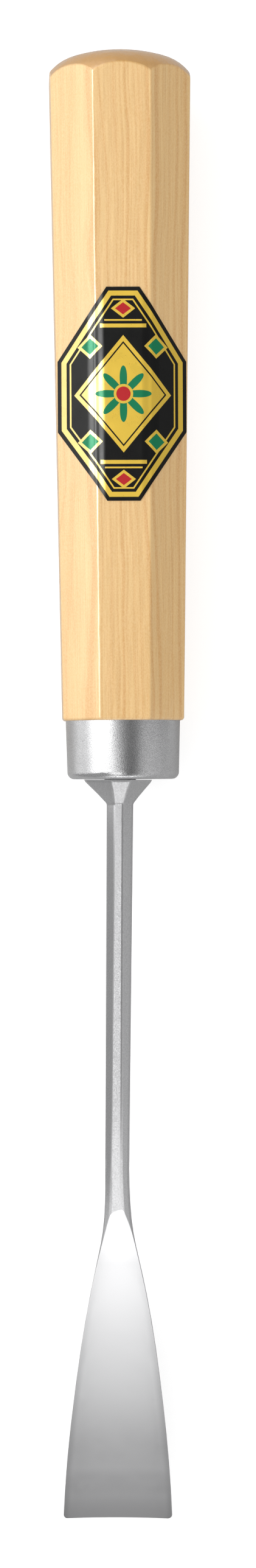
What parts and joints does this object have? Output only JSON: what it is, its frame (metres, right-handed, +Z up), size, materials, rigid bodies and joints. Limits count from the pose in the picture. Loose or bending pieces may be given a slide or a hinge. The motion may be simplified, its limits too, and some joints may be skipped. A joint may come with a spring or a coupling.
{
  "type": "fishtail carving chisel",
  "caption": "Hand carving chisel with an octagonal wooden handle, a steel ferrule and a forged blade that flares into a wide polished fishtail edge.",
  "frame": {"origin": "centre of the bounding box, on the surface that the tool lies on", "axes": "+X from the butt of the handle to the cutting edge, +Z up out of the polished face, +Y to the right of the face"},
  "size_m": [0.2689, 0.0256, 0.0257],
  "materials": {
    "lacquered_wood": "pale hardwood under satin lacquer",
    "ferrule_steel": "drawn steel, tumbled satin",
    "blade_steel": "satin shank, polished face",
    "label_foil": "glossy printed foil"
  },
  "bodies": {
    "root": {"handle": "lacquered_wood", "ferrule": "ferrule_steel", "blade": "blade_steel", "label": "label_foil"}
  },
  "joints": []
}
